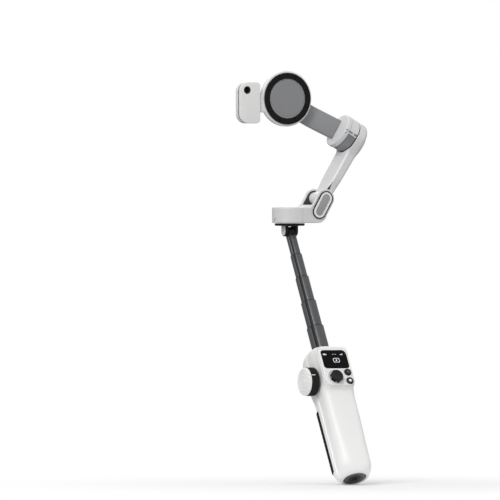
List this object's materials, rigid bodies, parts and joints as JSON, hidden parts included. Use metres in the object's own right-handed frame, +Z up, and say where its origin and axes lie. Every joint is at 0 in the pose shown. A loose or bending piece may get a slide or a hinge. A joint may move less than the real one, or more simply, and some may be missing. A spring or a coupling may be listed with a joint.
{
  "type": "gimbal stabilizer",
  "caption": "Three-axis phone gimbal stabilizer with a telescopic rod, folding arms, a round magnetic phone mount and a control handle.",
  "frame": {"origin": "mouth of the tripod socket, in the middle of the handle's base", "axes": "+Z up along the pan axis of the level head, +X to the user's right, -Y to the user's side, where the display and the phone's screen face; the handle's axis leans back 30 degrees from the socket, along (0, 0.5, 0.866)"},
  "size_m": [0.1297, 0.1697, 0.3818],
  "materials": {
    "white_shell": "satin moulded plastic, very fine texture",
    "silver_shell": "satin silver-white paint",
    "grey_arm": "matt mid grey",
    "rod_grey": "dark grey anodised tube, satin",
    "black_plastic": "matt black plastic",
    "black_rubber": "soft matt rubber",
    "display_glass": "black gloss window",
    "steel": "turned steel",
    "board_green": "circuit board",
    "cell_blue": "battery sleeve"
  },
  "bodies": {
    "handle": {"front_shell": "white_shell", "rear_shell": "white_shell", "grip_pad": "black_rubber", "bottom_cap": "black_plastic", "tripod_socket": "steel", "battery_cell": "cell_blue", "main_board": "board_green", "rod_guide": "black_plastic", "control_panel": "white_shell", "display_window": "display_glass", "joystick_bezel": "white_shell", "side_panel": "silver_shell", "usb_port": "steel"},
    "joystick_swivel": {"joystick_swivel": "steel"},
    "joystick": {"joystick_cap": "black_plastic"},
    "mode_button": {"mode_button": "black_plastic"},
    "shutter_button": {"shutter_button": "black_plastic", "shutter_dot": "white_shell"},
    "power_button": {"power_button": "black_plastic"},
    "trigger": {"trigger": "black_plastic"},
    "dial": {"dial_ring": "black_plastic", "dial_cap": "white_shell"},
    "rod_5": {"rod_section_5": "rod_grey"},
    "rod_4": {"rod_section_4": "rod_grey"},
    "rod_3": {"rod_section_3": "rod_grey"},
    "rod_2": {"rod_section_2": "rod_grey"},
    "rod_1": {"rod_section_1": "rod_grey", "rod_head": "black_plastic"},
    "neck": {"neck_fork": "black_plastic", "neck_pin": "steel", "pan_stator": "steel"},
    "pan": {"pan_housing": "silver_shell", "pan_spindle": "steel", "fold_pin": "steel", "fold_trim_front": "black_plastic", "fold_cap_front": "white_shell", "fold_inlay_front": "grey_arm", "fold_trim_rear": "black_plastic", "fold_cap_rear": "white_shell", "fold_inlay_rear": "grey_arm"},
    "lower_arm": {"lower_arm": "silver_shell", "tilt_motor_cover": "silver_shell", "tilt_stator": "steel"},
    "upper_arm": {"tilt_drum": "grey_arm", "tilt_rotor": "silver_shell", "upper_arm": "grey_arm", "upper_arm_cover": "silver_shell", "roll_motor_housing": "white_shell", "roll_motor_cover": "silver_shell", "roll_stator": "steel"},
    "phone_mount": {"mount_housing": "white_shell", "magnet_ring": "steel", "mount_pad": "black_rubber", "mount_disc": "grey_arm", "roll_shaft": "steel", "tracker_body": "black_plastic", "tracker_front": "white_shell", "tracker_back": "white_shell", "lens_ring": "black_plastic", "lens": "display_glass"}
  },
  "joints": [
    {"name": "rod_5_slide", "type": "slide", "parent": "handle", "child": "rod_5", "axis": [0, 0.5, 0.866], "range_m": [-0.039, 0]},
    {"name": "rod_4_slide", "type": "slide", "parent": "rod_5", "child": "rod_4", "axis": [0, 0.5, 0.866], "range_m": [-0.0266, 0]},
    {"name": "rod_3_slide", "type": "slide", "parent": "rod_4", "child": "rod_3", "axis": [0, 0.5, 0.866], "range_m": [-0.0256, 0]},
    {"name": "rod_2_slide", "type": "slide", "parent": "rod_3", "child": "rod_2", "axis": [0, 0.5, 0.866], "range_m": [-0.0236, 0]},
    {"name": "rod_1_slide", "type": "slide", "parent": "rod_2", "child": "rod_1", "axis": [0, 0.5, 0.866], "range_m": [-0.0196, 0]},
    {"name": "neck_tilt", "type": "hinge", "parent": "rod_1", "child": "neck", "pos_m": [0, 0.131, 0.2269], "axis": [1, 0, 0], "range_deg": [-30, 50]},
    {"name": "pan_turn", "type": "hinge", "parent": "neck", "child": "pan", "pos_m": [0, 0.131, 0.2269], "axis": [0, 0, 1], "range_deg": [-90, 240]},
    {"name": "fold", "type": "hinge", "parent": "pan", "child": "lower_arm", "pos_m": [0.031, 0.131, 0.2575], "axis": [0, 1, 0], "range_deg": [-120, 0]},
    {"name": "tilt_turn", "type": "hinge", "parent": "lower_arm", "child": "upper_arm", "pos_m": [0.0635, 0.131, 0.31379], "axis": [-0.866, 0, 0.5], "range_deg": [-90, 60]},
    {"name": "roll_turn", "type": "hinge", "parent": "upper_arm", "child": "phone_mount", "pos_m": [0, 0.131, 0.35045], "axis": [0, 1, 0], "range_deg": [-90, 90]},
    {"name": "dial_turn", "type": "hinge", "parent": "handle", "child": "dial", "pos_m": [-0.025, 0.04654, 0.0886], "axis": [-1, 0, 0], "continuous": true},
    {"name": "joystick_x", "type": "hinge", "parent": "handle", "child": "joystick_swivel", "pos_m": [-0.004, 0.03528, 0.0899], "axis": [1, 0, 0], "range_deg": [-10, 10], "stiffness_Nm_per_rad": 0.02},
    {"name": "joystick_y", "type": "hinge", "parent": "joystick_swivel", "child": "joystick", "pos_m": [-0.004, 0.03528, 0.0899], "axis": [0, 0.5, 0.866], "range_deg": [-10, 10], "stiffness_Nm_per_rad": 0.02},
    {"name": "mode_press", "type": "slide", "parent": "handle", "child": "mode_button", "axis": [0, 0.866, -0.5], "range_m": [0, 0.0008], "stiffness_N_per_m": 250, "springref_m": -0.0008},
    {"name": "shutter_press", "type": "slide", "parent": "handle", "child": "shutter_button", "axis": [0, 0.866, -0.5], "range_m": [0, 0.0008], "stiffness_N_per_m": 250, "springref_m": -0.0008},
    {"name": "power_press", "type": "slide", "parent": "handle", "child": "power_button", "axis": [-1, 0, 0], "range_m": [0, 0.0006], "stiffness_N_per_m": 250, "springref_m": -0.0008},
    {"name": "trigger_press", "type": "slide", "parent": "handle", "child": "trigger", "axis": [0, -0.866, 0.5], "range_m": [-0.0012, 0], "stiffness_N_per_m": 250, "springref_m": 0.0008}
  ]
}
